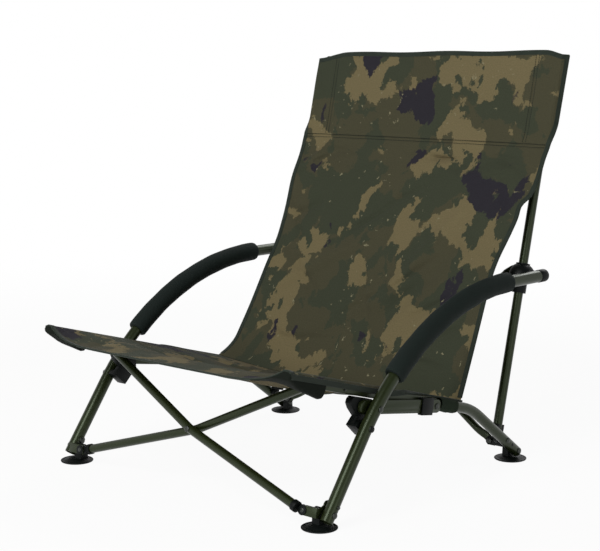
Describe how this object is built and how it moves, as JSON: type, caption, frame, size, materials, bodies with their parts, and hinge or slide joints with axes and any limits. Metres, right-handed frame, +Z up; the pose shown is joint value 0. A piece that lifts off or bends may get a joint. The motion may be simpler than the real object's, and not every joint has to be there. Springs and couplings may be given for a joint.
{
  "type": "folding carp chair",
  "caption": "Low folding fishing chair: steel tube frame with foam armrests, mud feet, brace crosses and a camouflage fabric sling seat and back.",
  "frame": {"origin": "on the floor, under the middle of the whole chair", "axes": "+Z up, +Y towards the back of the chair, +X towards the left hand of a sitter"},
  "size_m": [0.6668, 0.7748, 0.7451],
  "materials": {
    "frame": "satin olive green powder coat",
    "plastic": "black moulded nylon",
    "rubber": "black moulded rubber",
    "foam": "black closed-cell foam",
    "rivet": "dark zinc rivets and pins",
    "camo_cloth": null
  },
  "bodies": {
    "left_side": {"left_arm_leg_tube": "frame", "left_foam_grip": "foam", "left_arm_end_cap": "plastic", "left_front_foot_pin": "rivet", "left_front_clevis_rivet": "rivet", "left_under_seat_bracket": "plastic", "left_link_bolt": "rivet", "left_slider_pin": "rivet"},
    "left_front_foot": {"left_front_foot": "rubber"},
    "left_front_clevis": {"left_front_clevis": "frame", "left_front_brace_pin": "rivet"},
    "left_front_brace": {"left_front_brace_tube": "frame", "left_front_brace_socket": "plastic", "left_front_brace_tip": "plastic", "front_cross_rivet": "rivet"},
    "left_link": {"left_link_bar": "frame", "left_link_clip": "plastic", "left_link_rivet": "rivet"},
    "left_rail": {"left_seat_rail": "frame", "left_rear_leg_tube": "frame", "left_rear_foot_pin": "rivet", "left_socket_pin": "rivet", "seat_sling": "camo_cloth"},
    "left_rear_foot": {"left_rear_foot": "rubber"},
    "left_pole": {"left_back_pole": "frame", "left_pole_socket": "plastic", "back_sling": "camo_cloth"},
    "left_slider": {"left_arm_slider": "plastic"},
    "left_rear_clevis": {"left_rear_clevis": "plastic", "left_rear_brace_pin": "rivet"},
    "left_back_brace": {"left_back_brace_tube": "frame", "back_cross_rivet": "rivet"},
    "right_side": {"right_arm_leg_tube": "frame", "right_foam_grip": "foam", "right_arm_end_cap": "plastic", "right_front_foot_pin": "rivet", "right_front_clevis_rivet": "rivet", "right_under_seat_bracket": "plastic", "right_link_bolt": "rivet", "right_slider_pin": "rivet"},
    "right_front_foot": {"right_front_foot": "rubber"},
    "right_front_clevis": {"right_front_clevis": "frame", "right_front_brace_pin": "rivet"},
    "right_front_brace": {"right_front_brace_tube": "frame", "right_front_brace_socket": "plastic", "right_front_brace_tip": "plastic"},
    "right_link": {"right_link_bar": "frame", "right_link_clip": "plastic", "right_link_rivet": "rivet"},
    "right_rail": {"right_seat_rail": "frame", "right_rear_leg_tube": "frame", "right_rear_foot_pin": "rivet", "right_socket_pin": "rivet"},
    "right_rear_foot": {"right_rear_foot": "rubber"},
    "right_pole": {"right_back_pole": "frame", "right_pole_socket": "plastic"},
    "right_slider": {"right_arm_slider": "plastic"},
    "right_rear_clevis": {"right_rear_clevis": "plastic", "right_rear_brace_pin": "rivet"},
    "right_back_brace": {"right_back_brace_tube": "frame"}
  },
  "joints": [
    {"name": "left_front_clevis", "type": "hinge", "parent": "left_side", "child": "left_front_clevis", "pos_m": [0.316, -0.29696, 0.03599], "axis": [1, 0, 0], "range_deg": [-35.67, 0]},
    {"name": "fold", "type": "hinge", "parent": "left_front_clevis", "child": "left_front_brace", "pos_m": [0.275, -0.31896, 0.02699], "axis": [0, 0.9721, -0.2345], "range_deg": [0, 54.95], "deforming": ["seat_sling", "back_sling"]},
    {"name": "front_cross", "type": "hinge", "parent": "left_front_brace", "child": "right_front_brace", "pos_m": [0, -0.29919, 0.109], "axis": [0, 0.9721, -0.2345], "range_deg": [-109.95, 0]},
    {"name": "right_front_brace_hub", "type": "hinge", "parent": "right_front_brace", "child": "right_front_clevis", "pos_m": [-0.275, -0.31896, 0.02699], "axis": [0, 0.9721, -0.2345], "range_deg": [0, 55]},
    {"name": "right_front_clevis", "type": "hinge", "parent": "right_front_clevis", "child": "right_side", "pos_m": [-0.316, -0.29696, 0.03599], "axis": [1, 0, 0], "range_deg": [0, 35.67]},
    {"name": "left_front_foot_tilt", "type": "hinge", "parent": "left_side", "child": "left_front_foot", "pos_m": [0.316, -0.30504, 0.0248], "axis": [1, 0, 0], "range_deg": [-12, 12]},
    {"name": "left_link_swing", "type": "hinge", "parent": "left_side", "child": "left_link", "pos_m": [0.316, -0.19184, 0.17692], "axis": [1, 0, 0], "range_deg": [0, 7.59]},
    {"name": "left_rail_swing", "type": "hinge", "parent": "left_link", "child": "left_rail", "pos_m": [0.295, -0.01153, 0.14741], "axis": [1, 0, 0], "range_deg": [-107.59, 0]},
    {"name": "left_pole_swing", "type": "hinge", "parent": "left_rail", "child": "left_pole", "pos_m": [0.2767, 0.20503, 0.0453], "axis": [1, 0, 0], "range_deg": [0, 64.66]},
    {"name": "left_slider_travel", "type": "slide", "parent": "left_pole", "child": "left_slider", "axis": [0, 0.2391, 0.971], "range_m": [0, 0.2566]},
    {"name": "left_rear_clevis", "type": "hinge", "parent": "left_rail", "child": "left_rear_clevis", "pos_m": [0.295, 0.22004, 0.03432], "axis": [1, 0, 0], "range_deg": [0, 61.69]},
    {"name": "left_back_brace_hub", "type": "hinge", "parent": "left_rear_clevis", "child": "left_back_brace", "pos_m": [0.2559, 0.22004, 0.03432], "axis": [0, 0.9824, -0.1868], "range_deg": [0, 44.58]},
    {"name": "left_rear_foot_tilt", "type": "hinge", "parent": "left_rail", "child": "left_rear_foot", "pos_m": [0.295, 0.24135, 0.01872], "axis": [1, 0, 0], "range_deg": [-12, 12]},
    {"name": "right_front_foot_tilt", "type": "hinge", "parent": "right_side", "child": "right_front_foot", "pos_m": [-0.316, -0.30504, 0.0248], "axis": [1, 0, 0], "range_deg": [-12, 12]},
    {"name": "right_link_swing", "type": "hinge", "parent": "right_side", "child": "right_link", "pos_m": [-0.316, -0.19184, 0.17692], "axis": [1, 0, 0], "range_deg": [0, 7.59]},
    {"name": "right_rail_swing", "type": "hinge", "parent": "right_link", "child": "right_rail", "pos_m": [-0.295, -0.01153, 0.14741], "axis": [1, 0, 0], "range_deg": [-107.59, 0]},
    {"name": "right_pole_swing", "type": "hinge", "parent": "right_rail", "child": "right_pole", "pos_m": [-0.2767, 0.20503, 0.0453], "axis": [1, 0, 0], "range_deg": [0, 64.66]},
    {"name": "right_slider_travel", "type": "slide", "parent": "right_pole", "child": "right_slider", "axis": [0, 0.2391, 0.971], "range_m": [0, 0.2566]},
    {"name": "right_rear_clevis", "type": "hinge", "parent": "right_rail", "child": "right_rear_clevis", "pos_m": [-0.295, 0.22004, 0.03432], "axis": [1, 0, 0], "range_deg": [0, 61.69]},
    {"name": "right_back_brace_hub", "type": "hinge", "parent": "right_rear_clevis", "child": "right_back_brace", "pos_m": [-0.2559, 0.22004, 0.03432], "axis": [0, 0.9824, -0.1868], "range_deg": [-44.58, 0]},
    {"name": "right_rear_foot_tilt", "type": "hinge", "parent": "right_rail", "child": "right_rear_foot", "pos_m": [-0.295, 0.24135, 0.01872], "axis": [1, 0, 0], "range_deg": [-12, 12]}
  ],
  "couplings": [
    {"joint": "left_front_clevis", "follows": "fold", "ratio": -0.6483},
    {"joint": "front_cross", "follows": "fold", "ratio": -2},
    {"joint": "right_front_brace_hub", "follows": "fold", "ratio": 1},
    {"joint": "right_front_clevis", "follows": "fold", "ratio": 0.6483},
    {"joint": "left_link_swing", "follows": "fold", "ratio": 0.1372},
    {"joint": "left_rail_swing", "follows": "fold", "ratio": -1.957},
    {"joint": "left_pole_swing", "follows": "fold", "ratio": 1.1758},
    {"joint": "left_slider_travel", "follows": "fold", "m_per_rad": 0.26652},
    {"joint": "left_rear_clevis", "follows": "fold", "ratio": 1.1217},
    {"joint": "left_back_brace_hub", "follows": "fold", "ratio": 0.8103},
    {"joint": "right_link_swing", "follows": "fold", "ratio": 0.1372},
    {"joint": "right_rail_swing", "follows": "fold", "ratio": -1.957},
    {"joint": "right_pole_swing", "follows": "fold", "ratio": 1.1758},
    {"joint": "right_slider_travel", "follows": "fold", "m_per_rad": 0.26652},
    {"joint": "right_rear_clevis", "follows": "fold", "ratio": 1.1217},
    {"joint": "right_back_brace_hub", "follows": "fold", "ratio": -0.8103}
  ]
}
